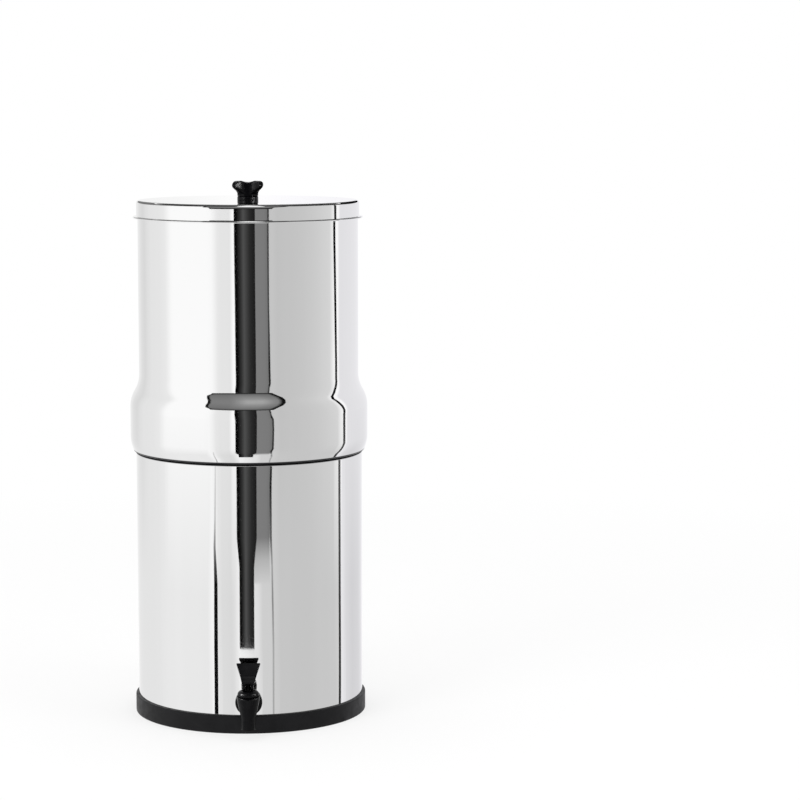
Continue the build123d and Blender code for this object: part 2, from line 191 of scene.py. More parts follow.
# %% White world and pale floor
SOFT_LIGHT = 0.72           # brightness of the world as the light that falls on the object
PLAIN_SHARE = 0.72          # share of plain white in the paper next to the filter
PAPER_ENDS = (0.25, 1.6)    # m from the filter, between which the paper turns to plain white
FLOOR_REACH = 20.0


def white_world():
    """White to the eye and to mirrors, a little softer as the light that falls on the object."""
    world = bpy.data.worlds.new("studio_world")
    bpy.context.scene.world = world
    world.use_nodes = True
    tree = world.node_tree
    tree.nodes.clear()
    rays = add_node(tree, "ShaderNodeLightPath").outputs
    seen = calculate(tree, "MAXIMUM", rays["Is Camera Ray"], rays["Is Glossy Ray"])
    seen = calculate(tree, "MAXIMUM", seen, rays["Is Transmission Ray"])
    level = spread(tree, seen, SOFT_LIGHT, 1.0, 0, 1)
    light = add_node(tree, "ShaderNodeBackground", {"Color": (1, 1, 1, 1), "Strength": level})
    add_node(tree, "ShaderNodeOutputWorld", {"Surface": light.outputs[0]})


def floor_material():
    """White paper: lit near the filter, where it keeps the shadow, and plain white further off."""
    material = empty_material("white_paper_floor")
    tree = material.node_tree
    rays = add_node(tree, "ShaderNodeLightPath").outputs
    place = add_node(tree, "ShaderNodeTexCoord")
    away = add_node(tree, "ShaderNodeVectorMath", {0: place.outputs["Object"]}, operation="LENGTH")
    plain = spread(tree, away.outputs["Value"], PLAIN_SHARE, 1.0, *PAPER_ENDS)
    seen = calculate(tree, "MAXIMUM", rays["Is Camera Ray"], rays["Is Glossy Ray"])
    share = calculate(tree, "MULTIPLY", seen, plain)
    paper = add_node(tree, "ShaderNodeBsdfDiffuse", {"Color": linear("#F4F4F4")})
    white = add_node(tree, "ShaderNodeEmission", {"Color": (1, 1, 1, 1), "Strength": 1.0})
    surfaced(tree, "ShaderNodeMixShader", {0: share, 1: paper.outputs[0], 2: white.outputs[0]})
    return material


def stage_object(bm, name, material):
    """Turns a bmesh into a piece of the studio."""
    mesh = bpy.data.meshes.new(name)
    bm.to_mesh(mesh)
    bm.free()
    mesh.materials.append(material)
    obj = bpy.data.objects.new(name, mesh)
    bpy.context.scene.collection.objects.link(obj)
    return obj


white_world()
bm = bmesh.new()
bmesh.ops.create_circle(bm, cap_ends=True, segments=96, radius=FLOOR_REACH)
stage_object(bm, "paper_floor", floor_material())
print("floor reaches", FLOOR_REACH, "m")

# %% [markdown]
# ## Where a mirror ray lands
# A round chamber is a convex mirror that packs nearly the whole room into its width. Round the
# filter stands a drum of cards, as a photographer sets flags and strip lights round a bright
# object. An azimuth of the drum is counted in degrees from the front, positive to the right of a
# person facing the tap. What runs on from the drum's foot towards the filter must follow the
# mirrored sight line, or it would look bent in the steel. The sight line is worked out with the
# law of reflection, and the wall's azimuth that shows a given card is found by halving.

# %% The law of reflection, seen from above
DRUM = 0.55            # m, distance of the cards from the filter's axis
CHAMBER = box_mm("lower_chamber")[1].x * MM
STEEL_SHINE = 0.955    # share of the light that polished stainless returns


def around(azimuth, radius, height=0.0):
    """The point at an azimuth in degrees, a distance from the axis and a height, in metres."""
    return Vector((radius * sin(radians(azimuth)), -radius * cos(radians(azimuth)), height))


def sight_line(wall):
    """The wall's point at an azimuth, and the level direction mirrored there to the camera."""
    point = around(wall, CHAMBER)
    to_camera = camera.location - point
    to_camera.z = 0
    to_camera.normalize()
    normal = point.normalized()
    return point, 2 * normal.dot(to_camera) * normal - to_camera


def seen_azimuth(wall):
    """The drum's azimuth that the camera sees at this azimuth of the wall."""
    point, out = sight_line(wall)
    along = point.dot(out)
    end = point + out * (sqrt(along ** 2 + DRUM ** 2 - CHAMBER ** 2) - along)
    return degrees(atan2(end.x, -end.y))


def wall_azimuth(card):
    """The wall's azimuth at which the camera sees this azimuth of the drum, found by halving."""
    low, high = -88.0, 88.0
    for _ in range(24):
        middle = (low + high) / 2
        if seen_azimuth(middle) < card:
            low = middle
        else:
            high = middle
    return middle


print("a card at 60 degrees shows in the wall at", round(wall_azimuth(60), 1), "degrees")

# %% [markdown]
# ## Cards round the steel
# A card is a sheet of light between rows of points. Each row has a height, and pairs of azimuth
# and grey, where the grey is the one that it shows in the steel. The greys blend into each other,
# as on a softbox or a paper sweep. Only mirror rays see the cards, so they don't show in the
# picture and cast no light or shade. The alternative, painting stripes on the steel, would stay
# put when the camera moves, and mirrors don't do that.

# %% How a card is made
CARD_TOP = 0.88        # m, top of the upright cards
LEAST_STEP = 5.0       # degrees between a card's upright edges
OVER_FLOOR = 0.6 * MM
RUN_GAP = 5 * MM       # between the wall and a card that runs on along the floor
SIGHT_FALL = 0.21      # how steeply the sight line falls, near the foot of the wall
LAVENDER = (0.998, 0.992, 1.02)
LAVENDER_FROM = 98     # degrees of azimuth, from where the cards have that tint


def card_light(grey, azimuth=0):
    """The light of a card that shows in the steel as this grey, 0 to 255."""
    shown = linear("#" + 3 * f"{round(grey):02X}")[:3]
    tint = LAVENDER if azimuth >= LAVENDER_FROM else (1, 1, 1)
    return [min(1.0, c * t / STEEL_SHINE) for c, t in zip(shown, tint)] + [1.0]


def card_material():
    """Evenly lit card that reads its brightness from the sheet's own points."""
    material = empty_material("lit_card")
    shown = add_node(material.node_tree, "ShaderNodeAttribute", attribute_name="shown")
    surfaced(material.node_tree, "ShaderNodeEmission", {
        "Color": shown.outputs["Color"], "Strength": 1.0})
    return material


def stepped(rows):
    """Rows of (azimuth, grey) cells, with more of them wherever two stand far apart."""
    counts = [max(ceil((row[i + 1][0] - row[i][0]) / LEAST_STEP) for row in rows)
              for i in range(len(rows[0]) - 1)]
    full = []
    for row in rows:
        cells = [row[0]]
        for (start, first), (end, last), count in zip(row, row[1:], counts):
            cells += [(start + (end - start) * i / count, first + (last - first) * i / count)
                      for i in range(1, count + 1)]
        full.append(cells)
    return full


def light_sheet(name, rows):
    """A mirror-only sheet from rows of (point, light), joined row to row."""
    bm = bmesh.new()
    bmesh.ops.create_grid(bm, x_segments=len(rows[0]) - 1, y_segments=len(rows) - 1, size=1)
    shown = bm.verts.layers.float_color.new("shown")
    for vert, (point, light) in zip(bm.verts, (cell for row in rows for cell in row)):
        vert.co = point
        vert[shown] = light
    sheet = stage_object(bm, name, CARD)
    for ray in ("camera", "diffuse", "shadow", "transmission", "volume_scatter"):
        setattr(sheet, "visible_" + ray, False)
    return sheet


def toward(azimuth, height, distance):
    """The point nearer than the drum that hides a place of the drum from the chamber's wall."""
    point, out = sight_line(wall_azimuth(azimuth))
    along = point.dot(out)
    near, far = (sqrt(along ** 2 + reach ** 2 - CHAMBER ** 2) - along for reach in (distance, DRUM))
    return point + out * near + Vector((0, 0, max(OVER_FLOOR, height + SIGHT_FALL * (far - near))))


def add_card(name, rows, inset=0.0, on_floor=False):
    """An upright card of the drum. On the floor it runs on along the sight lines to the steel."""
    lift = OVER_FLOOR + 0.1 * inset
    cells = stepped([row for _, row in rows])
    grid = [[(around(azimuth, DRUM - inset, max(height, lift)), card_light(grey, azimuth))
             for azimuth, grey in row] for (height, _), row in zip(rows, cells)]
    if on_floor:
        near = []
        for azimuth, grey in cells[0]:
            point, out = sight_line(wall_azimuth(azimuth))
            near.append((point + RUN_GAP * out + Vector((0, 0, lift)), card_light(grey, azimuth)))
        grid.insert(0, near)
    return light_sheet(name, grid)


CARD = card_material()
print("a grey of 200 needs a card of", round(card_light(200)[0], 2))

# %% [markdown]
# ## The backdrop
# One closed sheet of soft greys: white paper with a light on its left half, duller paper on its
# right. Its lower edge is a little darker than its top, because the paper sweep starts there. In
# front of it hang narrow dark lines, the joints between sheets, and the gap with the dark camera
# corner in it, beside a grey wall. The left joint stands close to the filter, so that the bulge
# looks over it and only the lower wall shows it.

# %% Backdrop, joints and gap
LOW_EDGE, HIGH_EDGE = 0.06, 0.30
backdrop = [
    # azimuth, grey at the foot, grey higher up
    (-180, 246, 250), (-157, 244, 233), (-147, 233, 231), (-137, 228, 221), (-126, 227, 215),
    (-118, 227, 222), (-110, 227, 227), (-95, 228, 228), (-86, 231, 232), (-78, 232, 248),
    (-72, 233, 253), (-38, 231, 253), (-33.5, 243, 248), (-31, 243, 242), (-27.5, 226, 231),
    (-24, 219, 228), (-16, 216, 227), (-13, 222, 250), (-9, 240, 250), (8, 222, 200),
    (12, 206, 195), (18, 206, 195), (23, 203, 196), (28, 197, 192), (54, 196, 197), (71, 198, 204),
    (86, 199, 212), (91, 204, 238), (93, 206, 244), (98, 233, 250), (101, 227, 225), (106, 216, 224),
    (118, 209, 226), (134, 213, 228), (144, 222, 231), (157, 244, 236), (180, 246, 250),
]
low_greys = [(azimuth, low) for azimuth, low, _ in backdrop]
high_greys = [(azimuth, high) for azimuth, _, high in backdrop]
floor_greys = [cell for cell in low_greys if abs(cell[0]) <= 157]
add_card("backdrop", [(0, low_greys), (LOW_EDGE, low_greys), (HIGH_EDGE, high_greys),
                      (CARD_TOP, high_greys)])
add_card("paper_on_the_floor", [(0, floor_greys)] * 2, on_floor=True)


def across(left, right, shades):
    """Cells of a narrow card between two azimuths, with shades as (share of the width, grey)."""
    return [(left + (right - left) * share, grey) for share, grey in shades]


def flat(grey):
    """One grey across a narrow card."""
    return ((0, grey), (1, grey))


GAP = ((0, 5), (0.12, 9), (0.3, 50), (0.44, 78), (0.6, 60), (0.74, 42), (0.88, 34), (1, 24))
WALL = ((0, 134), (0.2, 124), (0.8, 122), (1, 114))
gap_edges = [(0, -8.7, 4.3), (0.10, -8.6, 4.6), (0.135, -10.8, 7.0), (0.2, -10.7, 7.1),
             (0.27, -10.6, 7.4), (0.337, -11.0, 7.5), (0.49, -11.7, 7.3), (CARD_TOP, -11.8, 7.4)]
add_card("dark_gap", [(z, across(left, right, GAP)) for z, left, right in gap_edges], inset=0.006)
wall_edges = [(0.135, 18.6), (0.2, 19.0), (0.268, 20.6), (0.337, 19.2), (0.49, 18.5),
              (CARD_TOP, 18.5)]
FADED = [[(share, grey) for share, _ in WALL] for grey in (203, 178)]
grey_wall = [(0.08, across(4, 19, FADED[0])), (0.108, across(4, 18.6, FADED[1]))]
grey_wall += [(z, across(4, right, WALL)) for z, right in wall_edges]
add_card("grey_wall", grey_wall, inset=0.003)
wall_joint = [(0, 20.8, 22.3, 165), (0.06, 20.2, 21.7, 130), (0.1, 20.0, 21.4, 160),
              (0.135, 18.7, 20.7, 95), (0.2, 18.9, 20.8, 20), (0.268, 20.6, 22.2, 60),
              (0.337, 19.1, 20.9, 15), (0.41, 18.7, 20.1, 70), (0.49, 18.5, 20.1, 60),
              (CARD_TOP, 18.5, 20.2, 60)]
right_joint = [(0, 93.4, 96.8, 45), (0.2, 93.3, 96.6, 80), (0.27, 93.6, 96.8, 55),
               (0.337, 93.6, 96.8, 14), (0.49, 91.3, 94.7, 8), (CARD_TOP, 91.3, 94.7, 8)]
for name, edges in (("wall_joint", wall_joint), ("right_joint", right_joint)):
    rows = [(z, across(left, right, flat(grey))) for z, left, right, grey in edges]
    add_card(name, rows, inset=0.006, on_floor=True)
LEFT_JOINT_REACH = 0.2  # m from the axis, much nearer than the drum
left_joint = [(-0.08, -32.2, -28.7, 12), (0, -32.2, -28.7, 12), (0.07, -31.7, -28.5, 16),
              (0.09, -31.8, -29.3, 70), (0.11, -32.0, -30.1, 135), (0.14, -31.2, -29.8, 190),
              (0.2, -30.4, -29.2, 215)]
light_sheet("left_joint", [
    [(toward(azimuth, z, LEFT_JOINT_REACH), card_light(grey)) for azimuth in (left, right)]
    for z, left, right, grey in left_joint])
print("backdrop columns:", len(backdrop))

# %% [markdown]
# ## The overhead panel, the ceiling and the gap behind
# The flare between the chamber's two widths looks upwards, and sees a grey panel that hangs over
# the front of the set: it shows as a lens with a dark outline. Tighter bends, such as the lid's
# edge and the beads, look up past the drum to the ceiling, which is dark but for a white gap over
# the front, and that draws the thin dark lines along them. A second gap right behind does for
# someone who walks round the filter what the first does in front.

# %% Overhead panel, ceiling and rear gap
panel_edges = [(0.534, -34, 23), (0.546, -34.5, 23.6), (0.557, -35, 24.4), (0.60, -40, 28),
               (0.68, -42, 35), (0.80, -43.5, 41), (CARD_TOP, -44.5, 44.5)]
panel_greys = [(8, 8, 8), (12, 12, 12), (84, 90, 84), (112, 118, 110), (118, 134, 118),
               (124, 152, 126), (128, 172, 132)]
panel_rows = []
for (height, left, right), (first, middle, last) in zip(panel_edges, panel_greys):
    shades = ((0, 8), (0.03, 8), (0.05, first), (0.3, first), (0.5, middle), (0.7, middle),
              (0.9, last), (0.955, 20), (1, 8))
    panel_rows.append((height, across(left, right, shades)))
add_card("overhead_panel", panel_rows, inset=0.012)

EDGE_REACH = DRUM - 0.009
ceiling_edge = {
    "left": [(-180, 0.62, 130), (-150, 0.61, 120), (-120, 0.63, 110), (-90, 0.69, 100),
             (-70, 0.75, 90), (-46, 0.80, 80)],
    "right": [(44, 0.80, 70), (70, 0.75, 60), (90, 0.69, 45), (120, 0.63, 30), (150, 0.61, 18),
              (180, 0.62, 12)],
}
for side, edge in ceiling_edge.items():
    light_sheet("ceiling_edge_" + side, [
        [(around(azimuth, EDGE_REACH, max(least, height)), card_light(grey))
         for azimuth, height, grey in edge] for least in (0, CARD_TOP)])

CEILING_HEIGHT = 1.6
CEILING_FROM, CEILING_TO, CEILING_STEPS = 20.5, 348.5, 60
ceiling_rings = [(0.02, 120), (0.5, 80), (1.0, 40), (1.5, 22)]
ceiling_span = [CEILING_FROM + (CEILING_TO - CEILING_FROM) * i / CEILING_STEPS
                for i in range(CEILING_STEPS + 1)]
light_sheet("dark_ceiling", [[(around(azimuth, radius, CEILING_HEIGHT), card_light(grey))
                              for azimuth in ceiling_span] for radius, grey in ceiling_rings])
add_card("rear_gap", [(height, across(175, 185, GAP)) for height in (0, 0.5)], inset=0.006)
print("panel rows:", len(panel_rows))

# %% [markdown]
# ## Soft lamps
# Two large lamps from the front left and the right and one overhead light the floor and the black
# plastic. They are hidden from mirror rays, because the cards already show the steel what it
# should see. Three small lamps are linked to the black pieces alone: one lifts the knob and the tap
# a little from pure black, and two from the sides draw a light line down each edge of the tap, as
# mirror light only, so that its flat front stays black. The right one makes the knob sparkle too.

# %% Lamps
def add_lamp(name, place, size, watts, aim=(0, 0, 0.3)):
    """A square area lamp aimed at a point, and hidden from mirror rays."""
    data = bpy.data.lights.new(name, "AREA")
    data.shape = "SQUARE"
    data.size = size
    data.energy = watts
    lamp = bpy.data.objects.new(name, data)
    lamp.location = place
    lamp.rotation_euler = (Vector(aim) - Vector(place)).to_track_quat("-Z", "Y").to_euler()
    lamp.visible_glossy = False
    bpy.context.scene.collection.objects.link(lamp)
    return lamp


lamps = [
    add_lamp("left_softbox", (-1.6, -1.9, 1.7), 1.2, 22),
    add_lamp("right_softbox", (2.0, -1.2, 1.4), 1.2, 12),
    add_lamp("top_softbox", (0.0, 0.2, 2.4), 1.4, 14),
]
black_pieces = bpy.data.collections.new("black_pieces")
tap_pieces = bpy.data.collections.new("tap_pieces")
sparkle = add_lamp("front_left_sparkle", (-1.4, -1.4, 0.95), 0.9, 85, aim=(0, 0, 0.45))
left_edge = add_lamp("left_edge_light", (-1.3, -0.6, 0.5), 0.6, 300, aim=(0, -0.12, 0.1))
right_edge = add_lamp("right_edge_light", (1.3, -0.6, 0.5), 0.6, 250, aim=(0, -0.12, 0.1))
for lamp, receivers in (
        (sparkle, black_pieces), (left_edge, tap_pieces), (right_edge, black_pieces)):
    lamp.visible_glossy = True
    lamp.visible_diffuse = lamp == sparkle
    lamp.light_linking.receiver_collection = receivers
    lamps.append(lamp)
print("lamps:", len(lamps))

# %% [markdown]
# ## Drawing and turning
# Each new round piece is drawn as a section and turned about the upright axis, as the real shells
# are pressed and spun over a form. One function draws the section: straight runs and true bends,
# made by spinning the end of the line about the bend's centre. A long straight run gets a vertex
# just inside each end, which keeps its shading straight in a mirror finish.

# %% Drawing bends and turning
BEND_STEP = radians(9)
FACET = 0.9 * MM
HOLD = 1.5 * MM
TURN_STEPS = 240


def draw_to(bm, pen, target):
    """Extends the wire from pen to target and returns its new end."""
    run = target - pen.co
    stops = [target]
    if run.length > 8 * HOLD:
        hold = run.normalized() * HOLD
        stops = [pen.co + hold, target - hold, target]
    for stop in stops:
        tip = bmesh.ops.extrude_vert_indiv(bm, verts=[pen])["verts"][0]
        tip.co = stop
        pen = tip
    return pen


def bend_about(bm, pen, centre, axis, turn):
    """Carries the wire's end round a centre and returns its new end."""
    arc = (pen.co - centre).length * turn
    steps = max(2, ceil(turn / BEND_STEP), ceil(arc / FACET))
    swept = bmesh.ops.spin(bm, geom=[pen], cent=centre, axis=axis, angle=turn, steps=steps)
    return next(g for g in swept["geom_last"] if isinstance(g, bmesh.types.BMVert))


def draw_section(bm, corners):
    """Draws a wire through (radius, height, bend radius) corners in mm, and returns its end."""
    points = [Vector((r, 0, z)) * MM for r, z, _ in corners]
    pen = bm.verts.new(points[0])
    for before, corner, after, (_, _, bend) in zip(points, points[1:], points[2:], corners[1:]):
        arrive = (corner - before).normalized()
        leave = (after - corner).normalized()
        turn = arrive.angle(leave)
        pen = draw_to(bm, pen, corner - arrive * (bend * MM * tan(turn / 2)))
        if bend:
            inward = (leave - arrive * arrive.dot(leave)).normalized()
            pen = bend_about(bm, pen, pen.co + inward * bend * MM, arrive.cross(leave), turn)
    return draw_to(bm, pen, points[-1])


def tidy_mesh(bm):
    """Merges doubled points and turns every face outwards."""
    bmesh.ops.remove_doubles(bm, verts=bm.verts[:], dist=0.002 * MM)
    bmesh.ops.recalc_face_normals(bm, faces=bm.faces[:])


def turn_section(bm, steps=TURN_STEPS):
    """Turns the drawn wire a full circle round Z, and closes the seam and the poles."""
    bmesh.ops.spin(bm, geom=bm.verts[:] + bm.edges[:], cent=(0, 0, 0), axis=(0, 0, 1),
                   angle=tau, steps=steps, use_merge=True)
    tidy_mesh(bm)


def bar_between(start, end, radius):
    """A plain round bar between two points in mm, used as a cutter."""
    start, end = Vector(start) * MM, Vector(end) * MM
    along = end - start
    lean = along.to_track_quat("Z", "Y").to_matrix().to_4x4()
    bm = bmesh.new()
    bmesh.ops.create_cone(bm, cap_ends=True, segments=64, radius1=radius * MM, radius2=radius * MM,
                          depth=along.length, matrix=Matrix.Translation((start + end) / 2) @ lean)
    return bm


def cut_out(bm, cutter):
    """Cuts the cutter out of a piece with an exact Boolean, and hands the piece back."""
    solids = []
    for name, part in (("whole", bm), ("cutter", cutter)):
        mesh = bpy.data.meshes.new(name)
        part.to_mesh(mesh)
        part.free()
        solids.append(bpy.data.objects.new(name, mesh))
        bpy.context.scene.collection.objects.link(solids[-1])
    whole, tool = solids
    cut = whole.modifiers.new("cut", "BOOLEAN")
    cut.operation = "DIFFERENCE"
    cut.solver = "EXACT"
    cut.object = tool
    result = bmesh.new()
    result.from_object(whole, bpy.context.evaluated_depsgraph_get())
    for solid in solids:
        mesh = solid.data
        bpy.data.objects.remove(solid)
        bpy.data.meshes.remove(mesh)
    return result


print("a full turn has", TURN_STEPS, "steps")

# %% [markdown]
# ## Softening a moulded piece
# The tap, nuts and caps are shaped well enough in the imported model, but its edges are knife sharp.
# A real moulding never has such an edge: the mould's own corner is round, and the small bright
# line along it is what tells the eye that a thing is solid. So a copy is made, its triangles are
# joined into the flat faces that they came from, and its sharp edges get a narrow round.

# %% Softened copies and finished pieces
SHARP_FOLD = radians(35)    # between two faces, from which an edge is rounded
SHARP_EDGE = radians(32)    # from which an edge isn't shaded smooth
GLOSSY_BLACKS = ("black_knob_plastic", "black_tap_plastic")


def softened_copy(node, width):
    """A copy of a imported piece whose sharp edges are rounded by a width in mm."""
    bm = bmesh.new()
    bm.from_mesh(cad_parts[node].data)
    tidy_mesh(bm)
    bmesh.ops.dissolve_limit(bm, angle_limit=radians(0.5), verts=bm.verts[:], edges=bm.edges[:])
    bmesh.ops.recalc_face_normals(bm, faces=bm.faces[:])
    folds = [edge for edge in bm.edges
             if len(edge.link_faces) == 2 and edge.calc_face_angle() > SHARP_FOLD]
    bmesh.ops.bevel(bm, geom=folds, offset=width * MM, offset_type="OFFSET", segments=2,
                    profile=0.5, affect="EDGES", material=-1, clamp_overlap=True)
    return bm


def box_difference(obj, node):
    """How far a piece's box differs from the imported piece's, at most, in mm."""
    corners = [Vector(corner) / MM for corner in obj.bound_box]
    pairs = zip((corners[0], corners[6]), box_mm(node))
    return max(abs(a - b) for new, packed in pairs for a, b in zip(new, packed))


def finish_piece(bm, name, body, material, slot, *nodes):
    """Makes the piece's object, smooth but for its sharp edges, and lets it stand for CAD nodes."""
    mesh = bpy.data.meshes.new(name)
    bm.to_mesh(mesh)
    bm.free()
    mesh.materials.clear()
    mesh.materials.append(material)
    mesh.shade_smooth()
    mesh.set_sharp_from_angle(angle=SHARP_EDGE)
    obj = bpy.data.objects.new(name, mesh)
    bpy.context.scene.collection.objects.link(obj)
    if slot in GLOSSY_BLACKS:
        black_pieces.objects.link(obj)
    if slot == "black_tap_plastic":
        tap_pieces.objects.link(obj)
    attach(obj, body)
    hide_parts(*nodes)
    mesh.calc_loop_triangles()
    off = max(box_difference(obj, node) for node in nodes)
    print(f"{name}: {len(mesh.loop_triangles)} triangles, its box is off by {off:.2f} mm at most")
    return obj


def soften_all(pieces, body, material, slot):
    """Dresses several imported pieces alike; pieces maps each node to its softening width in mm."""
    for node, width in pieces.items():
        finish_piece(softened_copy(node, width), "soft_" + node, body, material, slot, node)


print("edges folded by more than", round(degrees(SHARP_FOLD)), "degrees are rounded")

# %% [markdown]
# ## Mirror-polished stainless steel
# Stainless 304 sheet, pressed, then buffed with compound until it mirrors. The eye gets an almost
# colourless mirror, a shade duller than silver, whose reflections waver a little because pressed
# sheet is never quite even. The waver is a broad bump; hair-fine buffing marks run round the
# wall and only blur the shine by a trace, so they are drawn 0.4 mm apart, coarser than life. In
# the joint between the chambers little light gets in or out, so the steel is given a painted shade
# there: its colour is painted dark grey and its roughness is raised.

# %% Mirror-polished stainless steel
JOINT_HEIGHT = 285.3
JOINT_SHADE_FADE = (1.7, 2.45)    # mm above and below the joint, between which the painted shade ends


def mirror_stainless():
    """Buffed 304 sheet: a mirror with a slow waver, faint buffing marks and painted joint shade."""
    material = empty_material("mirror_polished_stainless")
    tree = material.node_tree
    waver = noise_on(tree, 70, 1.0, 0.4, stretch=(1, 1, 0.45))
    marks = noise_on(tree, 0.4, 2.0, 0.6, stretch=(0.04, 0.04, 1))
    haze = spread(tree, marks, 0.02, 0.06)
    # Painted shade: near the joint's height the base colour turns from #FAFAFA to dark grey #38383A.
    height = add_node(tree, "ShaderNodeSeparateXYZ", {"Vector": object_place(tree)}).outputs["Z"]
    off = calculate(tree, "ABSOLUTE", calculate(tree, "SUBTRACT", height, JOINT_HEIGHT * MM))
    joint = spread(tree, off, 1.0, 0.0, *(edge * MM for edge in JOINT_SHADE_FADE))
    colour = add_node(tree, "ShaderNodeMix", {"Factor": joint}, data_type="RGBA")
    colour.inputs[6].default_value = linear("#FAFAFA")
    colour.inputs[7].default_value = linear("#38383A")
    surfaced(tree, PRINCIPLED, {
        "Base Color": colour.outputs[2], "Metallic": 1.0,
        "Roughness": calculate(tree, "MULTIPLY_ADD", joint, 0.3, haze),
        "Normal": bumped(tree, waver, 0.10, 2.0)})
    return material


steel = mirror_stainless()
print("material:", steel.name)

# %% [markdown]
# ### The inside of the chambers
# Buffing stops at the rim. Inside, the sheet keeps the mill's satin, which the eye reads as an even
# mid grey. It is the same steel with a rough surface and fine lines round the wall, 0.5 mm apart.
# It is drawn less metallic than it is, since a deep pot of pure metal would come out black. One
# function gives it to all the faces that look inwards.

# %% Satin inside
def satin_stainless():
    """Unbuffed sheet: satin, with fine lines round the wall."""
    material = empty_material("satin_stainless_inside")
    tree = material.node_tree
    lines = noise_on(tree, 0.5, 3.0, 0.6, stretch=(0.03, 0.03, 1))
    surfaced(tree, PRINCIPLED, {
        "Base Color": tones(tree, lines, "#E2E2E2", "#F0F0F0", 0.3, 0.7), "Metallic": 0.3,
        "Roughness": spread(tree, lines, 0.42, 0.58)})
    return material


satin = satin_stainless()


def satin_within(obj, floor_height, rim_height):
    """Gives the satin to the faces of a vessel that look at its axis, or up from its floor."""
    obj.data.materials.append(satin)
    count = 0
    for face in obj.data.polygons:
        middle = face.center / MM
        inwards = face.normal.x * middle.x + face.normal.y * middle.y < 0
        if middle.z < rim_height and (inwards or (face.normal.z > 0.2 and middle.z < floor_height)):
            face.material_index = 1
            count += 1
    print(obj.name, "has", count, "satin faces")


# %% [markdown]
# ## The lower chamber
# A deep-drawn bowl. Its line runs from the middle of the raised floor, round the bottom corner
# and up the wall, and ends in a curl that stiffens the rim. The line is turned, and the sheet
# then gets its thickness behind its faces. The hole for the tap's shank is cut last, between two
# rings of vertices that keep the cut away from the shining wall.
#
# A known fault: the faces of an open sheet are turned to match its curl's back. This curl rolls
# outwards, so on the wall they face the axis and the thickness lands outside. The chamber is
# drawn one sheet, 0.8 mm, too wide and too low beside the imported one, and dips into the ring.
# With a negative thickness for this one piece, and its faces turned outwards again, it would fit.

# %% Lower chamber
SHEET = 0.8
TAP_HEIGHT = 34.0
TAP_HOLE = 8.3


def turned_sheet(corners, curl):
    """A pressed shell from one line; curl is (radius and height of its centre, degrees)."""
    bm = bmesh.new()
    pen = draw_section(bm, corners)
    r, z, turn = curl
    axis = Vector((0, 1, 0)) if turn > 0 else Vector((0, -1, 0))
    bend_about(bm, pen, Vector((r, 0, z)) * MM, axis, radians(abs(turn)))
    turn_section(bm)
    bmesh.ops.solidify(bm, geom=bm.faces[:], thickness=SHEET * MM)
    return bm


lower_line = [(0, 7.5, 0), (95, 7.5, 2.5), (100, 5, 2.5), (121, 5, 6), (121, 19.5, 0),
              (121, 48.5, 0), (121, 283.6, 0)]
lower_shell = turned_sheet(lower_line, (121.6, 283.6, 290))
tap_drill = bar_between((0, -110, TAP_HEIGHT), (0, -130, TAP_HEIGHT), TAP_HOLE)
lower_vessel = finish_piece(cut_out(lower_shell, tap_drill), "lower_vessel", "lower", steel,
                            "polished_steel", "lower_chamber")
satin_within(lower_vessel, floor_height=16, rim_height=281)

# %% [markdown]
# ## The upper chamber
# The same sheet, narrower, with a collar that stands in the lower rim, a shelf that rests on the
# curl, and a bulge rolled outwards above it. The two long bends of the flare have a radius of
# 35 mm, and they decide the lens-shaped reflection that everyone sees first. Four holes in the
# floor take the elements' stems and, where there is no element, a plug.

# %% Upper chamber
STEM_HOLE = 4.35
STEM_REACH = middle_of("element_stem_right")[0]
upper_line = [(0, 265.3, 0), (119.4, 265.3, 6), (119.4, 285.3, 1.2), (124.2, 285.3, 2.0),
              (127.8, 296, 35), (127.8, 341.5, 35), (118, 359.5, 35), (118, 551.9, 0)]
upper_shell = turned_sheet(upper_line, (116.6, 551.9, -290))
for x, y in ((1, 0), (-1, 0), (0, 1), (0, -1)):
    hole = (x * STEM_REACH, y * STEM_REACH)
    upper_shell = cut_out(upper_shell, bar_between((*hole, 260), (*hole, 272), STEM_HOLE))
upper_vessel = finish_piece(upper_shell, "upper_vessel", "upper", steel, "polished_steel",
                            "upper_chamber")
satin_within(upper_vessel, floor_height=275, rim_height=549)

# %% [markdown]
# ## The lid
# A flat pressed cover whose skirt hangs over the upper chamber's rim. The edge of the skirt is
# turned out and folded back under itself, a hem that stiffens it and is safe to the hand. The
# line starts at the small hole for the knob's screw.

# %% Lid
lid_line = [(2.8, 554.4, 0), (119.3, 554.4, 3), (119.3, 537.3, 0.4), (122.25, 537.3, 0)]
HEM_BEND = 0.85
HEM_END = 118.7
LID_SHEET = 0.78


def hemmed_lid():
    """The lid's sheet: top, skirt, and the hem, folded by a half turn and run back inwards."""
    bm = bmesh.new()
    pen = draw_section(bm, lid_line)
    pen = bend_about(bm, pen, pen.co - Vector((0, 0, HEM_BEND * MM)), Vector((0, 1, 0)), pi)
    draw_to(bm, pen, Vector((HEM_END * MM, 0, pen.co.z)))
    turn_section(bm)
    bmesh.ops.solidify(bm, geom=bm.faces[:], thickness=LID_SHEET * MM)
    return bm


finish_piece(hemmed_lid(), "lid_shell", "lid", steel, "polished_steel", "lid")

# %% [markdown]
# ## Black mouldings
# Knob, tap, caps and rubber are all black and all moulded, and they differ in how they shine. One
# recipe serves them: a deep base colour that drifts a little through the piece, as pigment and
# filler do, a roughness that drifts with the wear of the mould, and a fine grain in the surface.
# A flat black with one roughness would look like a hole in the picture.

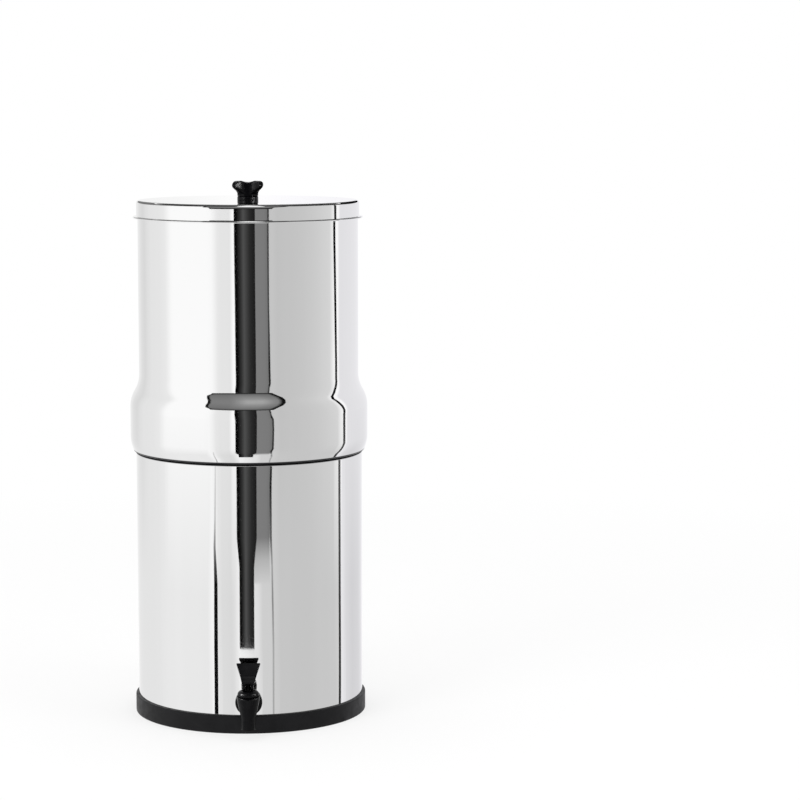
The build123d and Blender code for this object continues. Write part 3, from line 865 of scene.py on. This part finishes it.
# %% Recipe for mouldings
def moulded(name, dark, light, shine, grain_mm, grain_depth, blotch_mm=9.0, specular=0.35):
    """A moulding: two base tones, a (least, most) roughness, and a surface grain of a real size."""
    material = empty_material(name)
    tree = material.node_tree
    drift = noise_on(tree, blotch_mm, 4.0, 0.6)
    wear = noise_on(tree, blotch_mm / 3, 3.0)
    surfaced(tree, PRINCIPLED, {
        "Base Color": tones(tree, drift, dark, light, 0.35, 0.68),
        "Roughness": spread(tree, wear, *shine),
        "Normal": bumped(tree, noise_on(tree, grain_mm), 0.5, grain_depth),
        "Specular IOR Level": specular})
    return material


# %% [markdown]
# ### Where each black is used
# The ring is satin rubber with a faint grey bloom, the small washers are duller rubber. The knob is
# hard phenolic with a deep gloss. The tap is glass-filled plastic with a slight orange peel, and
# the element's fittings are satin nylon. Grains below half a millimetre are drawn coarser than
# life, since they would be lost at this distance.

# %% The blacks
ring_rubber = moulded("satin_ring_rubber", "#0E0E10", "#161618", (0.38, 0.52), 0.8, 0.02,
                      blotch_mm=22.0, specular=0.2)
washer_rubber = moulded("matte_washer_rubber", "#131314", "#1C1C1D", (0.6, 0.8), 0.6, 0.03)
knob_phenolic = moulded("gloss_phenolic", "#020203", "#050506", (0.08, 0.16), 1.6, 0.006,
                        specular=0.15)
tap_plastic = moulded("semi_gloss_tap_plastic", "#030304", "#070708", (0.13, 0.24), 1.0, 0.01,
                      specular=0.1)
fitting_nylon = moulded("satin_fitting_nylon", "#101012", "#19191B", (0.36, 0.5), 0.8, 0.02)
for black in (ring_rubber, washer_rubber, knob_phenolic, tap_plastic, fitting_nylon):
    print("black:", black.name)

# %% [markdown]
# ## The rubber ring
# One closed section, turned: a low wall that hugs the chamber, a foot that it stands on, and three
# grooves underneath that keep the wet filter from sliding. The grooves are drawn in a loop, since
# they only differ in where they stand.

# %% Base ring
RING_IN, RING_OUT, RING_WALL_IN, RING_TOP, RING_FOOT = 100, 125, 121.3, 19.3, 5
GROOVES, GROOVE_DEPTH, GROOVE_ROUND = 3, 1.2, 0.15
pitch = (RING_OUT - RING_IN) / (GROOVES + 1)
ring_line = [(RING_IN, RING_FOOT / 2, 0), (RING_IN, 0, 0.3)]
for groove in range(1, GROOVES + 1):
    start = RING_IN + pitch * groove - pitch / 6
    end = start + pitch / 3
    ring_line += [(radius, height, GROOVE_ROUND) for radius, height in (
        (start, 0), (start, GROOVE_DEPTH), (end, GROOVE_DEPTH), (end, 0))]
ring_line += [(RING_OUT, 0, 1.2), (RING_OUT, RING_TOP, 1.2), (RING_WALL_IN, RING_TOP, 1.2),
              (RING_WALL_IN, RING_FOOT, 4.4), (RING_IN, RING_FOOT, 0.3),
              (RING_IN, RING_FOOT / 2, 0)]
bm = bmesh.new()
draw_section(bm, ring_line)
turn_section(bm)
finish_piece(bm, "rubber_ring", "lower", ring_rubber, "black_rubber_ring", "base_ring")

# %% [markdown]
# ## The lobed knob
# The knob is a turned shape with four scallops milled into it. Its outline is a grooved foot, a
# waist, a flare, a rounded tip and a dished top. It is turned as a wire, and then each point is
# drawn in to the scallop's edge where it would stand outside it. Taking the smaller of the two
# radii gives the shape, and a smooth minimum rounds the edge between them in the same step.
# Cutting with four cylinders would be the alternative, but it leaves edges that are hard to round.

# %% Knob
LID_TOP = 554.4
KNOB = {"height": 20.0, "radius": 21.2, "waist": 11.3, "scallop": 16.5}
KNOB_ROUND = 1.8       # mm over which the lobe's edge is rounded
KNOB_STEPS = 144
SCREW_HOLE, SCREW_HOLE_DEPTH = 2.45, 11


def curve_to(bm, pen, handle_out, handle_in, end, steps=10):
    """Carries the wire along a Bezier curve given in mm, and returns its new end."""
    start = pen.co.copy()
    first, second, last = (Vector((r, 0, z)) * MM for r, z in (handle_out, handle_in, end))
    for step in range(1, steps + 1):
        t = step / steps
        u = 1 - t
        stop = u ** 3 * start + 3 * u * u * t * first + 3 * u * t * t * second + t ** 3 * last
        pen = draw_to(bm, pen, stop)
    return pen


def smooth_min(a, b, width):
    """The smaller of two lengths, eased into each other where they differ by less than width."""
    overlap = max(width - abs(a - b), 0)
    return min(a, b) - overlap * overlap / (4 * width)


def lobe_reach(azimuth):
    """How far the knob's plan reaches: to a scallop's near side, or to the full radius."""
    off = (azimuth + pi / 4) % (pi / 2) - pi / 4
    centre = KNOB["waist"] + KNOB["scallop"]
    inside = KNOB["scallop"] ** 2 - (centre * sin(off)) ** 2
    if inside <= 0:
        return KNOB["radius"]
    return smooth_min(centre * cos(off) - sqrt(inside), KNOB["radius"], KNOB_ROUND)


def height_on(line, radius):
    """The height at a radius of a line of (radius, 0, height) points that runs inwards."""
    for (outer, _, high), (inner, _, low) in zip(line, line[1:]):
        if inner <= radius < outer:
            return low + (high - low) * (radius - inner) / (outer - inner)
    return line[0][2]


def lobed_knob():
    """Turns the knob's outline, then draws it in to the four scallops."""
    tall, wide, waist = KNOB["height"], KNOB["radius"], KNOB["waist"]
    bm = bmesh.new()
    pen = draw_section(bm, [(0, 0, 0), (waist, 0, 0.3), (waist, 3.2, 0.2), (waist - 0.8, 4.0, 0.1),
                            (waist, 4.8, 0.2), (waist, 0.34 * tall, 0)])
    pen = curve_to(bm, pen, (12.4, 10.0), (21.0, 12.6), (wide, 0.78 * tall))
    pen = curve_to(bm, pen, (21.2, 18.4), (18.2, tall), (0.69 * wide, tall - 0.02))
    ridge = len(bm.verts) - 1
    pen = curve_to(bm, pen, (13.2, 19.5), (11.8, 18.6), (10.0, 18.4))
    curve_to(bm, pen, (6.8, 18.1), (4.0, 18.5), (0, 18.5))
    dish = [tuple(vert.co / MM) for vert in list(bm.verts)[ridge:]]
    turn_section(bm, KNOB_STEPS)
    for vert in bm.verts:
        x, y, z = vert.co / MM
        radius = sqrt(x * x + y * y)
        if radius > 0.5 * waist and z > 0.3 * tall:
            ease = KNOB_ROUND * min(1, (z - 0.3 * tall) / (0.25 * tall)) + 0.01
            wanted = smooth_min(radius, lobe_reach(atan2(y, x)), ease)
            vert.co.x *= wanted / radius
            vert.co.y *= wanted / radius
            vert.co.z = min(z, height_on(dish, wanted)) * MM
    bmesh.ops.remove_doubles(bm, verts=bm.verts[:], dist=0.02 * MM)
    bmesh.ops.translate(bm, verts=bm.verts[:], vec=(0, 0, LID_TOP * MM))
    bmesh.ops.recalc_face_normals(bm, faces=bm.faces[:])
    drill = bar_between((0, 0, LID_TOP - 2), (0, 0, LID_TOP + SCREW_HOLE_DEPTH), SCREW_HOLE)
    return cut_out(bm, drill)


finish_piece(lobed_knob(), "lobed_knob", "lid", knob_phenolic, "black_knob_plastic", "lid_knob")

# %% [markdown]
# ## Plain stainless steel
# Screws, pin and spring are plain stainless: drawn or turned, and never buffed. The eye gets a
# grey metal with fine lines and a soft, broken shine. The lines are a stretched noise 0.3 mm
# across, and they change both the colour and the roughness, as real tool marks do.

# %% Plain stainless steel and the pieces made of it
def plain_stainless():
    """Drawn or turned stainless with fine tool marks."""
    material = empty_material("plain_stainless")
    tree = material.node_tree
    marks = noise_on(tree, 0.3, 3.0, 0.6, stretch=(0.15, 0.15, 1))
    surfaced(tree, PRINCIPLED, {
        "Base Color": tones(tree, marks, "#A9A9AA", "#C6C6C7", 0.3, 0.7), "Metallic": 1.0,
        "Roughness": spread(tree, marks, 0.22, 0.4), "Normal": bumped(tree, marks, 0.3, 0.01)})
    return material


bare_stainless = plain_stainless()
soften_all({"knob_washer": 0.15, "knob_screw": 0.2}, "lid", bare_stainless, "plain_steel")
soften_all({"lever_pin": 0.1}, "valve", bare_stainless, "plain_steel")

# %% [markdown]
# ## The tap
# Body, bonnet, lever and stem are one family of mouldings. The lever's fork hangs on a steel pin
# through the stem, and its rounded heels roll on the bonnet's flat when it is pushed, which lifts
# the stem and the soft cup from the seat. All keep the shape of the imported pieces, because they
# must fit each other, and only get softened edges.

# %% Tap, washers and valve
for body, pieces in {
        "lower": {"tap_body": 0.25, "tap_bonnet": 0.25, "tap_lock_nut": 0.35},
        "lever": {"tap_lever": 0.25}, "valve": {"valve_stem": 0.2}}.items():
    soften_all(pieces, body, tap_plastic, "black_tap_plastic")
soften_all({"tap_outer_washer": 0.25, "tap_inner_washer": 0.3}, "lower", washer_rubber,
           "black_rubber")

# %% [markdown]
# ### The seat cup
# Food-grade silicone: milky, soft, and lit from within where it is thin. Subsurface scattering of
# under a millimetre gives the milkiness; a matt skin with a trace of dust gives the rest.

# %% Silicone seat cup
def silicone():
    """Milky silicone with a dusty skin."""
    material = empty_material("milky_silicone")
    tree = material.node_tree
    dust = noise_on(tree, 1.2, 4.0)
    surfaced(tree, PRINCIPLED, {
        "Base Color": tones(tree, dust, "#BFC0BE", "#D9DAD7"),
        "Roughness": spread(tree, dust, 0.4, 0.6, 0, 1), "Subsurface Weight": 0.4,
        "Subsurface Radius": (1.0, 1.0, 0.9), "Subsurface Scale": 0.8 * MM})
    return material


soften_all({"seat_cup": 0.2}, "valve", silicone(), "seat_silicone")

# %% [markdown]
# ### The closing spring
# A coil of drawn wire between the bonnet's roof and the cup. The wire's round outline is carried
# round and up at once. As the valve opens, its lower end rises and the real coil is pressed
# shorter; here it is drawn at its rest length only.

# %% Closing spring
WIRE_RADIUS, COIL_RADIUS, COIL_TURNS, COIL_STEPS = 0.45, 4.6, 5, 48
WIRE_SIDES = 14


def wire_coil(rise):
    """A coil that rises by this many mm, of round wire, with both ends closed."""
    bm = bmesh.new()
    lean = Matrix.Rotation(pi / 2, 4, "X")
    place = Matrix.Translation(Vector((COIL_RADIUS, 0, 0)) * MM) @ lean
    outline = bmesh.ops.create_circle(bm, segments=WIRE_SIDES, radius=WIRE_RADIUS * MM,
                                      matrix=place)["verts"]
    steps = COIL_TURNS * COIL_STEPS
    bmesh.ops.spin(bm, geom=outline + bm.edges[:], cent=(0, 0, 0), axis=(0, 0, 1),
                   angle=COIL_TURNS * tau, steps=steps, dvec=(0, 0, rise * MM / steps))
    bmesh.ops.holes_fill(bm, edges=[edge for edge in bm.edges if edge.is_boundary])
    tidy_mesh(bm)
    return bm


y = middle_of("valve_stem")[1]
x, low, high = 0, *middle_of("valve_spring")[2:]
print("the spring stands from", round(low, 2), "to", round(high, 2))
bm = wire_coil(high - low - 2 * WIRE_RADIUS)
bmesh.ops.translate(bm, verts=bm.verts[:], vec=Vector((x, y, low + WIRE_RADIUS)) * MM)
coil = finish_piece(bm, "closing_coil", "lower", bare_stainless, "plain_steel", "valve_spring")
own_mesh(coil)

# %% [markdown]
# ## Threads
# Element stems and plugs are moulded with a coarse thread. A wire with one tooth's outline is
# carried round and up at once by a spin that also shifts it by a small step, so the teeth meet
# turn by turn. The helix is then cut level at both ends, closed, and drawn in a little at its tip,
# so that a nut finds its start. A bump would do from afar, but a thread is seen in outline.

# %% Threaded bars
THREAD_PITCH = 1.6
THREAD_DEPTH = 0.7
THREAD_STEPS = 32
LEAD_IN = 1.2


def threaded_bar(x, y, low, high, radius):
    """A solid bar with a helical thread, its axis upright at x and y, all in mm."""
    turns = ceil((high - low) / THREAD_PITCH) + 3
    bm = bmesh.new()
    tooth = [(radius - THREAD_DEPTH, 0), (radius, 0.42), (radius, 0.58), (radius - THREAD_DEPTH, 1)]
    points = [bm.verts.new(Vector((r, 0, low + (up - 2) * THREAD_PITCH)) * MM) for r, up in tooth]
    wire = [bm.edges.new(pair) for pair in zip(points, points[1:])]
    bmesh.ops.spin(bm, geom=points + wire, cent=(0, 0, 0), axis=(0, 0, 1), angle=turns * tau,
                   steps=turns * THREAD_STEPS, dvec=(0, 0, THREAD_PITCH * MM / THREAD_STEPS))
    bmesh.ops.remove_doubles(bm, verts=bm.verts[:], dist=0.01 * MM)
    for height, side in ((low, -1), (high, 1)):
        everything = bm.verts[:] + bm.edges[:] + bm.faces[:]
        bmesh.ops.bisect_plane(bm, geom=everything, dist=0.0001 * MM, clear_outer=True,
                               plane_co=(0, 0, height * MM), plane_no=(0, 0, side))
        rim = [edge for edge in bm.edges if edge.is_boundary
               and all(abs(vert.co.z / MM - height) < 0.01 for vert in edge.verts)]
        bmesh.ops.edgeloop_fill(bm, edges=rim)
    for vert in bm.verts:
        sunk = max(0, LEAD_IN - (vert.co.z / MM - low)) / LEAD_IN
        vert.co.x *= 1 - 0.2 * sunk
        vert.co.y *= 1 - 0.2 * sunk
    tidy_mesh(bm)
    bmesh.ops.translate(bm, verts=bm.verts[:], vec=Vector((x, y, 0)) * MM)
    return bm


print("pitch", THREAD_PITCH, "mm, depth", THREAD_DEPTH, "mm")

# %% [markdown]
# ## The filter elements
# Each element is a block of pressed carbon glued between a thin cap and a thick one, with an
# outlet tube below that a washer seals and a wing nut draws tight. The block's surface is
# granular: a Voronoi pattern of grains about a millimetre across, drawn coarser than the real
# powder, gives each its own grey, and pits between them. The grey cap is flecked like a stone.

# %% Pressed carbon and flecked cap
def granular(name, dark, light, grain_mm, pit_depth, shine):
    """Grains of two greys with pits between them."""
    material = empty_material(name)
    tree = material.node_tree
    grains = add_node(tree, "ShaderNodeTexVoronoi", {
        "Vector": object_place(tree), "Scale": repeats(grain_mm)})
    each = add_node(tree, "ShaderNodeSeparateColor", {"Color": grains.outputs["Color"]})
    surfaced(tree, PRINCIPLED, {
        "Base Color": tones(tree, each.outputs[0], dark, light),
        "Roughness": spread(tree, each.outputs[1], *shine, 0, 1),
        "Normal": bumped(tree, grains.outputs["Distance"], 0.6, pit_depth, invert=True),
        "Specular IOR Level": 0.3})
    return material


pressed_carbon = granular("pressed_carbon", "#1E1E21", "#3C3C42", 1.1, 0.15, (0.6, 0.9))
flecked_cap = granular("flecked_grey_cap", "#5A5A60", "#7C7C84", 0.9, 0.02, (0.4, 0.55))
print("materials:", pressed_carbon.name, flecked_cap.name)

# %% Both elements
STEM_RADIUS, STEM_BORE = 3.95, 2.0
for side in ("left", "right"):
    soften_all({"element_block_" + side: 0.4}, "upper", pressed_carbon, "carbon_block")
    soften_all({"element_top_cap_" + side: 0.3, "element_wing_nut_" + side: 0.5}, "upper",
               fitting_nylon, "black_cap_plastic")
    soften_all({"element_base_cap_" + side: 0.4}, "upper", flecked_cap, "grey_cap_plastic")
    soften_all({"element_washer_" + side: 0.4}, "upper", washer_rubber, "black_rubber")
    x, y, low, high = middle_of("element_stem_" + side)
    bore = bar_between((x, y, low - 2), (x, y, high + 2), STEM_BORE)
    tube = cut_out(threaded_bar(x, y, low, high, STEM_RADIUS), bore)
    finish_piece(tube, "threaded_stem_" + side, "upper", fitting_nylon, "black_cap_plastic",
                 "element_stem_" + side)

# %% [markdown]
# ## The blocking plugs
# Two holes of the floor are spare, for a third and fourth element. Each is closed by a round-headed
# screw of the same nylon with a rubber washer above the floor and a wing nut below. The head is
# turned, and it runs into the thread inside the washer.

# %% Both plugs
PLUG_HEAD, PLUG_HEAD_HEIGHT = 11.0, 4.0
for side in ("front", "back"):
    soften_all({"plug_wing_nut_" + side: 0.5}, "upper", fitting_nylon, "black_cap_plastic")
    soften_all({"plug_washer_" + side: 0.3}, "upper", washer_rubber, "black_rubber")
    x, y, low, high = middle_of("plug_screw_" + side)
    seat = high - PLUG_HEAD_HEIGHT
    bm = bmesh.new()
    draw_section(bm, [(0, seat, 0), (PLUG_HEAD, seat, 0.3), (PLUG_HEAD, high, 1.33), (0, high, 0)])
    turn_section(bm, 96)
    bmesh.ops.translate(bm, verts=bm.verts[:], vec=Vector((x, y, 0)) * MM)
    shank = bpy.data.meshes.new("shank")
    threaded_bar(x, y, low, seat, STEM_RADIUS).to_mesh(shank)
    bm.from_mesh(shank)
    bpy.data.meshes.remove(shank)
    finish_piece(bm, "threaded_plug_" + side, "upper", fitting_nylon, "black_cap_plastic",
                 "plug_screw_" + side)
